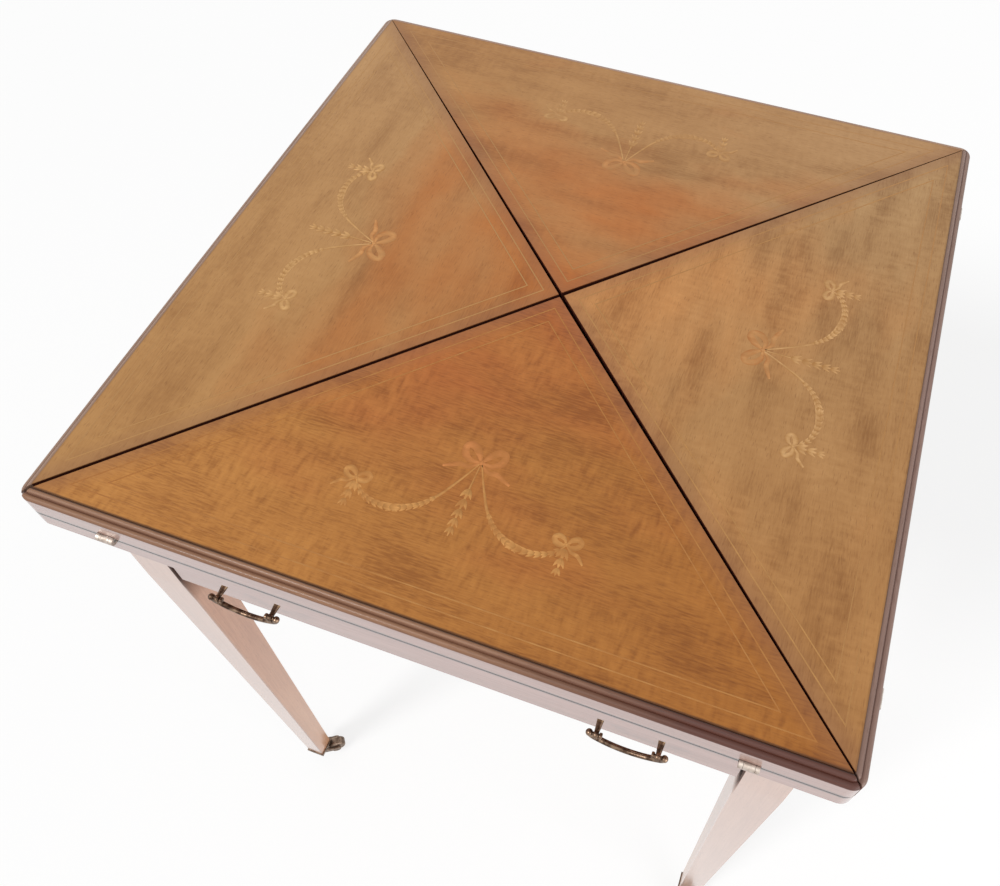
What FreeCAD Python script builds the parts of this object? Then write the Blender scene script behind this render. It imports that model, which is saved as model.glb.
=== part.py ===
import FreeCAD, Part
import math
import os

# Envelope card table: a square swivelling top made of a tray and four triangular leaves that
# fold out, on a frame with one frieze drawer and four tapered legs on castors.
# Millimetres, +Z up, origin on the floor under the middle of the top, drawer towards -Y.

# Top, closed
top_side = 560.0
table_height = 725.0
leaf_thickness = 22.0
leaf_gap = 0.8                  # closed leaf above the tray
front_left_mitre_centre = 2.9   # gap between two leaves at the middle of the top
front_left_mitre_corner = 2.7   # and at the corner where they meet: age has opened each mitre its own way
front_right_mitre_centre = 3.8
front_right_mitre_corner = 1.4
back_right_mitre_centre = 3.6
back_right_mitre_corner = 0.6
back_left_mitre_centre = 2.9
back_left_mitre_corner = 0.6
rim_width = 8.0               # reeded edge strip round the leaves
rim_drop = 5.6                  # from the flat of the top down to the edge face
rim_quirk = 0.8                 # step between the reeds and the veneered field
reed_bulge = 1.2
inner_corner_radius = 1.5       # corner of the veneered field

# Baize linings
baize_thickness = 0.8
baize_recess = 1.0
baize_clearance = 0.3
leaf_border = 25.4              # from the middle line of a mitre to the pocket for the baize
hinge_border = 26.0             # bare wood along a hinged edge, on leaf and tray

# Hinges
hinge_inset = 63.0              # middle of a hinge from the corner of the top
hinge_offset = 1.0              # hinge pin outside the edge face
hinge_width = 12.6
middle_knuckle = 7.0
knuckle_radius = 3.0
knuckle_gap = 0.2
hinge_clearance = 0.3           # wood clear of the turning knuckles
hinge_pin_radius = 1.0
hinge_pin_clearance = 0.05
strap_thickness = 1.5
strap_length = 22.0             # from the edge of the top
screw_head_radius = 2.2
screw_shank_radius = 1.2
screw_length = 11.0
screw_shares = (0.45, 0.8)      # places of the two screws along a strap

# Tray under the leaves
tray_edge_height = 15.0         # upright part of the tray's edge
tray_bevel_width = 14.0         # slope under that edge
well_radius = 30.0              # counter wells dished into the corners
well_floor_radius = 20.0
well_depth = 11.0
well_hollow_width = 0.25        # point on the hollow side: share of its width from the edge
well_hollow_depth = 0.7         # and share of its depth
well_margin = 8.0               # baize between a well and the border

# Swivel
swivel_gap = 0.3                # tray above the frame
swivel_angle = 45.0
pivot_radius = 6.0
pivot_clearance = 0.05
pivot_head_radius = 12.0
pivot_head_height = 5.0
pivot_end = 3.0                 # bolt past its nut
bush_wall = 3.0
bush_flange_width = 5.0
bush_flange_thickness = 2.5
washer_radius = 13.0
washer_thickness = 2.0
washer_clearance = 0.2
nut_across_flats = 19.0
nut_height = 8.0
stop_circle_radius = 40.0
stop_pin_radius = 4.0
stop_pin_grip = 12.0            # length held in the tray
stop_pin_reach = 10.0           # length below the tray
stop_clearance = 0.3

# Frame
top_overhang = 23.0             # edge of the top past the outer face of a leg
leg_top_side = 34.0
leg_foot_side = 19.0
leg_square_below_rail = 15.0    # square part of a leg below the rails
frieze_height = 100.0
rail_thickness = 18.0
rail_setback = 1.0              # rail and drawer face behind the leg face
tenon_thickness = 8.0
tenon_shoulder = 8.0
tenon_spacing = 2.0             # between the two tenons that meet in a leg
front_top_rail_height = 12.0
front_bottom_rail_height = 10.0
front_bottom_rail_width = 22.0
stub_shoulder = 2.0             # shoulder of the stub tenons of the front rails
bearer_width = 110.0
bearer_thickness = 20.0
bearer_lap = 9.0                # bearer let into each side rail
guide_height = 20.0             # drawer guide above its runner

# Drawer
drawer_end_gap = 2.0            # drawer front to leg
drawer_edge_gap = 0.6           # drawer front to the rail above it and to the frieze line
drawer_slide_gap = 0.3          # drawer on its runners
drawer_guide_gap = 0.6          # drawer side to its guide
drawer_front_thickness = 18.0
drawer_front_lap = 8.0          # wood left in front of the drawer sides
drawer_side_thickness = 9.0
drawer_side_height = 58.0
drawer_back_height = 34.0       # above the drawer bottom
drawer_back_gap = 22.0          # drawer to the back rail
drawer_bottom_thickness = 6.0
drawer_bottom_lift = 5.0        # groove above the lower edge of the sides
drawer_groove_depth = 4.0

# Handles
handle_centre = 144.0           # from the middle of the drawer
handle_post_spacing = 43.0
handle_standoff = 16.5          # pivot of the bail in front of the drawer
handle_eye_radius = 2.9
handle_eye_width = 3.2
handle_neck_radius = 1.6        # stem at the eye
handle_stem_radius = 3.0        # stem at its rose
handle_rose_radius = 6.0
handle_rose_thickness = 1.8
handle_shank_radius = 2.0
handle_nut_radius = 5.0
handle_nut_thickness = 3.0
handle_shank_end = 1.5          # shank past its nut
bail_pin_radius = 1.3
bail_pin_clearance = 0.05
bail_radius = 2.0
bail_drop = 13.0
bail_corner_radius = 7.0        # turn of the bow below each end
bail_bead_radius = 2.5          # rounded ends of the bow, outside the eyes
bail_end_gap = 0.6              # beads and buttons to the eyes
bail_button_radius = 2.2        # button on the inner end of each pin
bail_button_width = 2.2
bail_button_round = 0.7

# Castors
castor_height = 28.0            # floor to the foot of the leg
castor_plate_margin = 1.2       # plate past the foot of the leg
castor_plate_thickness = 4.0
castor_swivel_gap = 0.3
castor_spike_radius = 3.0
castor_spike_length = 25.0
castor_pintle_radius = 3.0
castor_pintle_clearance = 0.05
castor_crown_radius = 8.5
castor_crown_height = 5.3
castor_trail = 18.0             # axle behind the swivel
castor_cheek_thickness = 2.4
castor_cheek_radius = 4.8
castor_axle_radius = 2.0
castor_axle_clearance = 0.05
wheel_radius = 11.0
wheel_width = 10.5
wheel_tread_round = 2.4
wheel_side_gap = 0.5
castor_turns = {"front_left": 38.0, "front_right": 270.0, "back_left": 62.0, "back_right": 15.0}

# Levels and lines that follow from the sizes above
half_top = top_side / 2
corner_radius = rim_width + inner_corner_radius
leaf_bottom = table_height - leaf_thickness
tray_top = leaf_bottom - leaf_gap
tray_thickness = leaf_thickness             # an open leaf lies level with the tray, above and below
tray_bottom = tray_top - tray_thickness
board_top = tray_top - baize_recess
half_board = half_top - hinge_border
hinge_level = leaf_bottom - leaf_gap / 2
hinge_line = -half_top - hinge_offset       # y of the front hinge pins
hinge_place = half_top - hinge_inset
strap_start = hinge_line + knuckle_radius + hinge_clearance
strap_end = -half_top + strap_length

frame_top = tray_bottom - swivel_gap
frieze_bottom = frame_top - frieze_height
leg_face = half_top - top_overhang
leg_inside = leg_face - leg_top_side
leg_axis = leg_face - leg_top_side / 2
rail_face = leg_face - rail_setback
rail_inside = rail_face - rail_thickness
rail_centre = rail_face - rail_thickness / 2
tenon_end = rail_centre - tenon_thickness / 2 - tenon_spacing
bearer_bottom = frame_top - bearer_thickness
front_rail_top = frieze_bottom + front_bottom_rail_height

drawer_half = leg_inside - drawer_end_gap
drawer_front_back = -rail_face + drawer_front_thickness
drawer_side_inside = drawer_half - drawer_side_thickness
drawer_low = front_rail_top + drawer_slide_gap
drawer_floor = drawer_low + drawer_bottom_lift + drawer_bottom_thickness
drawer_end = rail_inside - drawer_back_gap
front_rail_start = drawer_front_back + drawer_edge_gap
front_rail_end = front_rail_start + front_bottom_rail_width

SIDES = ("front", "right", "back", "left")
CORNERS = {"front_left": (-1, -1), "front_right": (1, -1), "back_left": (-1, 1), "back_right": (1, 1)}
Vector = FreeCAD.Vector
X_AXIS = Vector(1, 0, 0)
Y_AXIS = Vector(0, 1, 0)
Z_AXIS = Vector(0, 0, 1)
ORIGIN = Vector(0, 0, 0)
PAST = 20.0                                 # how far a cutting shape runs past what it cuts


# Small helpers for solids
def block(x_range, y_range, z_range):
    """Box between two limits along each axis."""
    low = Vector(x_range[0], y_range[0], z_range[0])
    sizes = [limits[1] - limits[0] for limits in (x_range, y_range, z_range)]
    return Part.makeBox(*sizes, low)


def prism(outline, z_range):
    """Flat outline of (x, y) points raised between two levels."""
    points = [Vector(x, y, z_range[0]) for x, y in outline]
    face = Part.Face(Part.makePolygon(points + points[:1]))
    return face.extrude(Z_AXIS * (z_range[1] - z_range[0]))


def upright(radius, place, z_range):
    """Upright cylinder at an (x, y) place."""
    return Part.makeCylinder(radius, z_range[1] - z_range[0], Vector(place[0], place[1], z_range[0]))


def lying(radius, x_range, y, z):
    """Cylinder along X."""
    return Part.makeCylinder(radius, x_range[1] - x_range[0], Vector(x_range[0], y, z), X_AXIS)


def square(half_side, radius, z_range):
    """Square prism about the Z axis with rounded corners."""
    sides = (-half_side, half_side)
    solid = block(sides, sides, z_range)
    corners = [edge for edge in solid.Edges if abs(edge.tangentAt(edge.FirstParameter).z) > 0.5]
    return solid.makeFillet(radius, corners)


def joined(pieces):
    """One solid from overlapping or touching pieces."""
    return pieces[0].fuse(pieces[1:]).removeSplitter()


def without(solid, cutters):
    """Solid with the cutters taken away."""
    return solid.cut(Part.makeCompound(cutters))


def turned(shape, quarters):
    """Copy turned about the Z axis by quarter turns."""
    copy = shape.copy()
    copy.rotate(ORIGIN, Z_AXIS, 90 * quarters)
    return copy


def moved(shape, x, y=0.0, z=0.0):
    """Copy moved by an offset."""
    copy = shape.copy()
    copy.translate(Vector(x, y, z))
    return copy


def mirrored(shape, normal):
    """Copy mirrored in a plane through the origin."""
    return shape.mirror(ORIGIN, normal)


def save(node, pieces):
    """Write one node: a single solid, or a group of separate like solids."""
    solids = [solid for piece in pieces for solid in piece.Solids]
    shape = solids[0] if len(solids) == 1 else Part.makeCompound(solids)
    shape.exportStep(f"parts/{node}.step")
    print(f"{node}: {len(solids)} solid(s), {shape.Volume:.0f} mm3, valid {shape.isValid()}")


# Hinges: a strap with one knuckle on the leaf, a strap with two on the tray, and a pin
def knuckle(radius, x_range):
    """Cylinder about the front hinge pin."""
    return lying(radius, x_range, hinge_line, hinge_level)


def strap_screw(y, face_level, direction):
    """Countersunk screw whose head is flush with the strap's bare face."""
    depth = Z_AXIS * direction
    head_start = Vector(0, y, face_level)
    head = Part.makeCone(screw_head_radius, screw_shank_radius, strap_thickness, head_start, depth)
    shank_start = Vector(0, y, face_level + direction * strap_thickness)
    shank = Part.makeCylinder(screw_shank_radius, screw_length - strap_thickness, shank_start, depth)
    return joined([head, shank])


def strap_screws(face_level, direction):
    """Two screws, near the middle and the inner end of the strap."""
    rows = [strap_start + share * (strap_end - strap_start) for share in screw_shares]
    return [strap_screw(y, face_level, direction) for y in rows]


def strap(levels, knuckles, screws, pin_hole):
    """Flat strap with its knuckles, bored for the pin and countersunk for its screws."""
    plate = block((-hinge_width / 2, hinge_width / 2), (strap_start, strap_end), levels)
    necks = [block(x_range, (hinge_line, strap_start), levels) for x_range in knuckles]
    rounds = [knuckle(knuckle_radius, x_range) for x_range in knuckles]
    bore = knuckle(pin_hole, (-hinge_width, hinge_width))
    return without(joined([plate] + necks + rounds), [bore] + screws)


def pair(shape):
    """The shape at both hinge places along one edge."""
    return [moved(shape, side * hinge_place) for side in (-1, 1)]


leaf_strap_levels = (leaf_bottom, leaf_bottom + strap_thickness)
tray_strap_levels = (tray_top - strap_thickness, tray_top)
middle = (-middle_knuckle / 2, middle_knuckle / 2)
outer_right = (middle_knuckle / 2 + knuckle_gap, hinge_width / 2)
outer_left = (-outer_right[1], -outer_right[0])

leaf_screws = strap_screws(leaf_bottom, 1)
tray_screws = strap_screws(tray_top, -1)
leaf_strap = strap(leaf_strap_levels, [middle], leaf_screws, hinge_pin_radius + hinge_pin_clearance)
tray_strap = strap(tray_strap_levels, [outer_left, outer_right], tray_screws, hinge_pin_radius)
hinge_pin = knuckle(hinge_pin_radius, (-hinge_width / 2, hinge_width / 2))

barrel_reach = hinge_width / 2 + hinge_clearance
barrel_room = knuckle(knuckle_radius + hinge_clearance, (-barrel_reach, barrel_reach))
mortise_width = (-hinge_width / 2, hinge_width / 2)
leaf_mortise = block(mortise_width, (hinge_line, strap_end), leaf_strap_levels)
tray_mortise = block(mortise_width, (hinge_line, strap_end), tray_strap_levels)
leaf_hinge_cuts = [cut for piece in [barrel_room, leaf_mortise] + leaf_screws for cut in pair(piece)]
tray_hinge_cuts = [cut for piece in [barrel_room, tray_mortise] + tray_screws for cut in pair(piece)]


# Leaves: a veneered triangular panel, a reeded rim on its outer edge and baize underneath
MITRES = (
    (front_left_mitre_centre, front_left_mitre_corner),
    (front_right_mitre_centre, front_right_mitre_corner),
    (back_right_mitre_centre, back_right_mitre_corner),
    (back_left_mitre_centre, back_left_mitre_corner),
)


def mitre_edge(gap):
    """A leaf's edge along a mitre: where it crosses the leaf's middle line, and its slope."""
    start = gap[0] / math.sqrt(2)
    end = half_top - gap[1] / math.sqrt(2)
    return start, end / (half_top - start)


def leaf_triangle(left_gap, right_gap, reach):
    """Outline of a leaf at the front between its two mitres, out to a distance from the centre."""
    left_start, left_slope = mitre_edge(left_gap)
    right_start, right_slope = mitre_edge(right_gap)
    apex = (left_start * left_slope + right_start * right_slope) / (left_slope + right_slope)
    return [
        ((apex - right_start) * right_slope, -apex),
        ((reach - right_start) * right_slope, -reach),
        ((left_start - reach) * left_slope, -reach),
    ]


def inset_triangle(inset, reach):
    """The same outline with both edges one distance from the middle lines of their mitres."""
    gap = (2 * inset, 2 * inset)
    return leaf_triangle(gap, gap, reach)


def rim_profile():
    """Section of the rim at x = 0: an upright edge face, then two reeds up to the field."""
    def at(depth, height):
        return Vector(0, -half_top + depth, leaf_bottom + height)

    nose = at(0, leaf_thickness - rim_drop)
    quirk = at(rim_width, leaf_thickness - rim_quirk)
    groove = (nose + quirk) * 0.5
    slope = (quirk - nose).normalize()
    bulge = Vector(0, -slope.z, slope.y) * reed_bulge
    edges = [
        Part.LineSegment(at(0, 0), nose),
        Part.Arc(nose, (nose + groove) * 0.5 + bulge, groove),
        Part.Arc(groove, (groove + quirk) * 0.5 + bulge, quirk),
        Part.LineSegment(quirk, at(rim_width, 0)),
        Part.LineSegment(at(rim_width, 0), at(0, 0)),
    ]
    return Part.Face(Part.Wire([edge.toShape() for edge in edges]))


def front_rim(left_gap, right_gap):
    """Rim carried along the front edge and half way round both rounded corners."""
    run = half_top - corner_radius
    section = rim_profile()
    past_mitre = 60
    start = moved(section, run)
    corner = start.revolve(Vector(run, -run, 0), Z_AXIS, past_mitre)
    straight = moved(section, -run).extrude(X_AXIS * (2 * run))
    ring = joined([straight, corner, mirrored(corner, X_AXIS)])
    outline = leaf_triangle(left_gap, right_gap, half_top + PAST)
    wedge = prism(outline, (leaf_bottom - PAST, table_height + PAST))
    return without(ring.common(wedge), leaf_hinge_cuts)


def front_panel(left_gap, right_gap):
    """Triangular panel with a shallow pocket for the baize in its underside."""
    levels = (leaf_bottom, table_height)
    field = square(half_top - rim_width, inner_corner_radius, levels)
    panel = field.common(prism(leaf_triangle(left_gap, right_gap, half_top + PAST), levels))
    pocket = prism(inset_triangle(leaf_border, half_board), (leaf_bottom - PAST, leaf_bottom + baize_recess))
    return without(panel, [pocket] + leaf_hinge_cuts)


def front_leaf_baize():
    """Triangle of baize glued into the pocket."""
    outline = inset_triangle(leaf_border + baize_clearance, half_board - baize_clearance)
    glued = leaf_bottom + baize_recess
    return prism(outline, (glued - baize_thickness, glued))


leaf_baize = front_leaf_baize()
for quarters, side in enumerate(SIDES):
    left_gap = MITRES[quarters]
    right_gap = MITRES[(quarters + 1) % len(MITRES)]
    save(f"leaf_panel_{side}", [turned(front_panel(left_gap, right_gap), quarters)])
    save(f"leaf_rim_{side}", [turned(front_rim(left_gap, right_gap), quarters)])
    save(f"leaf_baize_{side}", [turned(leaf_baize, quarters)])
    save(f"leaf_hinge_straps_{side}", [turned(piece, quarters) for piece in pair(leaf_strap)])
    screws = [turned(piece, quarters) for screw in leaf_screws for piece in pair(screw)]
    save(f"leaf_hinge_screws_{side}", screws)


# Tray: a board with dished counter wells, mitred lippings round it and baize on top
def around(pieces):
    """The front side's pieces on all four sides."""
    return [turned(piece, quarters) for quarters in range(len(SIDES)) for piece in pieces]


def front_lipping():
    """Mitred strip with an upright edge and a bevel under it."""
    edge = [(0, 0), (hinge_border, 0), (hinge_border, -tray_thickness),
            (tray_bevel_width, -tray_thickness), (0, -tray_edge_height)]
    section = [Vector(-half_top, -half_top + depth, tray_top + height) for depth, height in edge]
    strip = Part.Face(Part.makePolygon(section + section[:1])).extrude(X_AXIS * top_side)
    levels = (tray_bottom, tray_top)
    mitre = prism([(0, 0), (top_side, -top_side), (-top_side, -top_side)], levels)
    strip = strip.common(mitre).common(square(half_top, corner_radius, levels))
    return without(strip, tray_hinge_cuts)


well_place = half_board - well_margin - well_radius
well_places = [(x * well_place, y * well_place) for x, y in CORNERS.values()]


def well(place):
    """Space of a counter well: a flat floor with a hollow curve up to its edge."""
    def at(radius, height):
        return Vector(place[0] + radius, place[1], board_top + height)

    hollow = (well_radius - well_floor_radius) * well_hollow_width
    edges = [
        Part.LineSegment(at(0, -well_depth), at(well_floor_radius, -well_depth)),
        Part.Arc(at(well_floor_radius, -well_depth),
                 at(well_radius - hollow, -well_depth * well_hollow_depth), at(well_radius, 0)),
        Part.LineSegment(at(well_radius, 0), at(well_radius, PAST)),
        Part.LineSegment(at(well_radius, PAST), at(0, PAST)),
        Part.LineSegment(at(0, PAST), at(0, -well_depth)),
    ]
    section = Part.Face(Part.Wire([edge.toShape() for edge in edges]))
    return section.revolve(at(0, 0), Z_AXIS, 360)


# Swivel: a bolt down from the tray through a bush in the bearer, and a pin in a curved slot
stop_start = 180 - swivel_angle / 2
stop_place = (stop_circle_radius * math.cos(math.radians(stop_start)),
              stop_circle_radius * math.sin(math.radians(stop_start)))
washer_top = bearer_bottom - washer_clearance
nut_top = washer_top - washer_thickness
nut_bottom = nut_top - nut_height
centre = (0, 0)

pivot_bolt = joined([
    upright(pivot_head_radius, centre, (board_top - pivot_head_height, board_top)),
    upright(pivot_radius, centre, (nut_bottom - pivot_end, board_top)),
])
stop_pin = upright(stop_pin_radius, stop_place, (tray_bottom - stop_pin_reach, tray_bottom + stop_pin_grip))
washer = without(upright(washer_radius, centre, (nut_top, washer_top)),
                 [upright(pivot_radius + pivot_clearance, centre, (nut_top, washer_top))])
nut_corner = nut_across_flats / math.sqrt(3)
hexagon = [(nut_corner * math.cos(math.radians(60 * step)), nut_corner * math.sin(math.radians(60 * step)))
           for step in range(6)]
nut = without(prism(hexagon, (nut_bottom, nut_top)), [pivot_bolt])

bush_radius = pivot_radius + pivot_clearance + bush_wall
flange_low = frame_top - bush_flange_thickness
bush_body = joined([
    upright(bush_radius, centre, (bearer_bottom, frame_top)),
    upright(bush_radius + bush_flange_width, centre, (flange_low, frame_top)),
])
bush_bore = upright(pivot_radius + pivot_clearance, centre, (bearer_bottom - PAST, tray_top))
bush = without(bush_body, [bush_bore])

tray_board = without(
    block((-half_board, half_board), (-half_board, half_board), (tray_bottom, board_top)),
    [well(place) for place in well_places] + [pivot_bolt, stop_pin])
baize_half = half_board - baize_clearance
tray_baize = without(
    block((-baize_half, baize_half), (-baize_half, baize_half), (board_top, board_top + baize_thickness)),
    [upright(well_radius + baize_clearance, place, (board_top - PAST, tray_top)) for place in well_places])

save("tray_board", [tray_board])
save("tray_lipping", around([front_lipping()]))
save("tray_baize", [tray_baize])
save("tray_hinge_straps", around(pair(tray_strap)))
save("tray_hinge_screws", around([piece for screw in tray_screws for piece in pair(screw)]))
save("hinge_pins", around(pair(hinge_pin)))
save("pivot_bolt", [pivot_bolt])
save("pivot_washer", [washer])
save("pivot_nut", [nut])
save("pivot_bush", [bush])
save("stop_pin", [stop_pin])


# Bearer across the frame, with the bush and the curved slot that ends the swivel
def stop_slot():
    """Curved slot for the stop pin, as long as the swivel."""
    half_width = stop_pin_radius + stop_clearance
    levels = (frame_top - stop_pin_reach - stop_clearance, frame_top + PAST)
    height = levels[1] - levels[0]
    base = Vector(0, 0, levels[0])
    outer = Part.makeCylinder(stop_circle_radius + half_width, height, base, Z_AXIS, swivel_angle)
    inner = Part.makeCylinder(stop_circle_radius - half_width, height, base, Z_AXIS, 360)
    sector = outer.cut(inner)
    ends = [upright(half_width, (stop_circle_radius, 0), levels)]
    far_end = ends[0].copy()
    far_end.rotate(ORIGIN, Z_AXIS, swivel_angle)
    slot = sector.fuse(ends + [far_end])
    slot.rotate(ORIGIN, Z_AXIS, stop_start)
    return slot


bearer_reach = rail_inside + bearer_lap
bearer_block = block((-bearer_reach, bearer_reach), (-bearer_width / 2, bearer_width / 2),
                     (bearer_bottom, frame_top))
save("pivot_bearer", [without(bearer_block, [bush_body, stop_slot()])])


# Rails, tenoned into the legs
tenon_levels = (frieze_bottom + tenon_shoulder, frame_top - tenon_shoulder)
tenon_width = (rail_centre - tenon_thickness / 2, rail_centre + tenon_thickness / 2)
between_legs = (-leg_inside, leg_inside)
between_tenons = (-tenon_end, tenon_end)


def long_rail():
    """Right-hand rail along Y with a tenon at both ends."""
    body = block((rail_inside, rail_face), between_legs, (frieze_bottom, frame_top))
    tenons = block(tenon_width, between_tenons, tenon_levels)
    return joined([body, tenons])


def front_rail(y_range, z_range, tenon_centre):
    """Flat rail along X with stub tenons."""
    body = block(between_legs, y_range, z_range)
    tenon_depth = (tenon_centre - tenon_thickness / 2, tenon_centre + tenon_thickness / 2)
    stub = block(between_tenons, tenon_depth, (z_range[0] + stub_shoulder, z_range[1] - stub_shoulder))
    return joined([body, stub])


side_rail = long_rail()
back_rail = turned(side_rail, 1)
side_rail_right = without(side_rail, [bearer_block])
top_rail_levels = (frame_top - front_top_rail_height, frame_top)
top_rail = front_rail((-rail_face, -leg_inside), top_rail_levels, -rail_centre)
bottom_rail_tenon = (front_rail_start - leg_inside) / 2
bottom_rail_levels = (frieze_bottom, front_rail_top)
bottom_rail = front_rail((front_rail_start, front_rail_end), bottom_rail_levels, bottom_rail_tenon)
rails = [side_rail_right, mirrored(side_rail_right, X_AXIS), back_rail, top_rail, bottom_rail]

save("side_rail_right", rails[:1])
save("side_rail_left", rails[1:2])
save("back_rail", [back_rail])
save("front_top_rail", [top_rail])
save("front_bottom_rail", [bottom_rail])


# Drawer runners: a ledge under each drawer side and a guide beside it, glued to the side rails
def right_runner():
    """L-shaped strip along the right-hand rail."""
    run = (front_rail_end, leg_inside)
    ledge = block((drawer_side_inside, rail_inside), run, (frieze_bottom, front_rail_top))
    guide = block((drawer_half + drawer_guide_gap, rail_inside), run,
                  (frieze_bottom, front_rail_top + guide_height))
    return joined([ledge, guide])


save("drawer_runners", [right_runner(), mirrored(right_runner(), X_AXIS)])


# Castors: a plate with a spike and a pintle, a fork that swivels on it and a wheel
plate_bottom = castor_height - castor_plate_thickness
crown_top = plate_bottom - castor_swivel_gap
crown_bottom = crown_top - castor_crown_height
cheek_inside = wheel_width / 2 + wheel_side_gap
cheek_outside = cheek_inside + castor_cheek_thickness


def castor_plate():
    """Square plate with a spike up into the leg and a pintle down into the fork."""
    half_side = leg_foot_side / 2 + castor_plate_margin
    plate = block((-half_side, half_side), (-half_side, half_side), (plate_bottom, castor_height))
    spike = upright(castor_spike_radius, centre, (castor_height, castor_height + castor_spike_length))
    pintle = upright(castor_pintle_radius, centre, (crown_bottom, plate_bottom))
    return joined([plate, spike, pintle])


def castor_fork():
    """Round crown, two cheeks reaching along +X, and the axle riveted between them."""
    cheek_outline = [(-castor_crown_radius / 2, crown_bottom), (-castor_crown_radius / 2, crown_top),
                     (castor_crown_radius / 2, crown_top),
                     (castor_trail + castor_cheek_radius, wheel_radius),
                     (castor_trail - castor_cheek_radius, wheel_radius)]
    points = [Vector(x, cheek_inside, z) for x, z in cheek_outline]
    plate = Part.Face(Part.makePolygon(points + points[:1])).extrude(Y_AXIS * castor_cheek_thickness)
    axle_end = Vector(castor_trail, cheek_inside, wheel_radius)
    boss = Part.makeCylinder(castor_cheek_radius, castor_cheek_thickness, axle_end, Y_AXIS)
    cheek = plate.fuse(boss)
    axle_start = Vector(castor_trail, -cheek_outside, wheel_radius)
    axle = Part.makeCylinder(castor_axle_radius, 2 * cheek_outside, axle_start, Y_AXIS)
    crown = upright(castor_crown_radius, centre, (crown_bottom, crown_top))
    fork = joined([crown, cheek, mirrored(cheek, Y_AXIS), axle])
    bore_radius = castor_pintle_radius + castor_pintle_clearance
    return without(fork, [upright(bore_radius, centre, (crown_bottom - PAST, crown_top + PAST))])


def castor_wheel():
    """Turned wheel with a rounded tread and a bore for the axle."""
    tread_start = Vector(castor_trail, -wheel_width / 2, wheel_radius)
    wheel = Part.makeCylinder(wheel_radius, wheel_width, tread_start, Y_AXIS)
    rims = [edge for edge in wheel.Edges if len(edge.Vertexes) == 1]
    wheel = wheel.makeFillet(wheel_tread_round, rims)
    bore = Part.makeCylinder(castor_axle_radius + castor_axle_clearance, wheel_width, tread_start, Y_AXIS)
    return wheel.cut(bore)


def at_foot(shape, corner, turn):
    """Copy under one leg, turned about the swivel."""
    copy = shape.copy()
    copy.rotate(ORIGIN, Z_AXIS, turn)
    return moved(copy, CORNERS[corner][0] * leg_axis, CORNERS[corner][1] * leg_axis)


plate = castor_plate()
fork = castor_fork()
wheel = castor_wheel()
plates = {corner: at_foot(plate, corner, 0) for corner in CORNERS}
save("castor_plates", list(plates.values()))
for corner, turn in castor_turns.items():
    save(f"castor_fork_{corner}", [at_foot(fork, corner, turn)])
    save(f"castor_wheel_{corner}", [at_foot(wheel, corner, turn)])


# Legs: square at the top, mortised for the rails, then tapered on all four faces to the castor
def square_wire(half_side, level):
    """Square outline about the Z axis at one level."""
    signs = [(-1, -1), (1, -1), (1, 1), (-1, 1)]
    points = [Vector(x * half_side, y * half_side, level) for x, y in signs]
    return Part.makePolygon(points + points[:1])


def leg(corner):
    """One leg with mortises the size of the tenons and a hole for the castor spike."""
    taper_top = frieze_bottom - leg_square_below_rail
    half_side = leg_top_side / 2
    head = block((-half_side, half_side), (-half_side, half_side), (taper_top, frame_top))
    wires = [square_wire(leg_foot_side / 2, castor_height), square_wire(half_side, taper_top)]
    shaft = Part.makeLoft(wires, True, True)
    post = at_foot(joined([head, shaft]), corner, 0)
    return without(post, rails + [plates[corner]])


for corner in CORNERS:
    save(f"leg_{corner}", [leg(corner)])


# Drawer: front lapped over the sides, back between them, bottom slid into grooves
drawer_side_levels = (drawer_low, drawer_low + drawer_side_height)
drawer_front_levels = (frieze_bottom + drawer_edge_gap, frame_top - front_top_rail_height - drawer_edge_gap)
side_right = block((drawer_side_inside, drawer_half), (-rail_face + drawer_front_lap, drawer_end),
                   drawer_side_levels)
groove_half = drawer_side_inside + drawer_groove_depth
drawer_bottom = block((-groove_half, groove_half), (drawer_front_back - drawer_groove_depth, drawer_end),
                      (drawer_floor - drawer_bottom_thickness, drawer_floor))
drawer_back_start = drawer_end - drawer_side_thickness
drawer_back = block((-drawer_side_inside, drawer_side_inside), (drawer_back_start, drawer_end),
                    (drawer_floor, drawer_floor + drawer_back_height))
side_left = mirrored(side_right, X_AXIS)
front_block = block((-drawer_half, drawer_half), (-rail_face, drawer_front_back), drawer_front_levels)


# Handles: posts bolted through the drawer front and a bail that swings in their eyes
handle_level = sum(drawer_front_levels) / 2
eye_line = -rail_face - handle_standoff
post_half = handle_post_spacing / 2
eye_half = handle_eye_width / 2
bead_place = post_half + eye_half + bail_end_gap + bail_bead_radius


def along_drawer(radius, y_range):
    """Cylinder along Y at the handle's level."""
    return Part.makeCylinder(radius, y_range[1] - y_range[0], Vector(0, y_range[0], handle_level), Y_AXIS)


def handle_post():
    """Turned post: rose on the drawer, tapered stem, flat-sided eye, and a shank through the front."""
    shank_end = drawer_front_back + handle_nut_thickness + handle_shank_end
    eye_centre = Vector(0, eye_line, handle_level)
    rose = Part.makeCone(handle_stem_radius, handle_rose_radius, handle_rose_thickness,
                         Vector(0, -rail_face - handle_rose_thickness, handle_level), Y_AXIS)
    stem = Part.makeCone(handle_neck_radius, handle_stem_radius, handle_standoff, eye_centre, Y_AXIS)
    shank = along_drawer(handle_shank_radius, (-rail_face, shank_end))
    slab_reach = 2 * handle_eye_radius
    slab = block((-eye_half, eye_half), (eye_line - slab_reach, eye_line + slab_reach),
                 (handle_level - slab_reach, handle_level + slab_reach))
    eye = Part.makeSphere(handle_eye_radius, eye_centre).common(slab)
    bore = lying(bail_pin_radius + bail_pin_clearance, (-slab_reach, slab_reach), eye_line, handle_level)
    return without(joined([rose, stem, shank, eye]), [bore])


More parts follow.
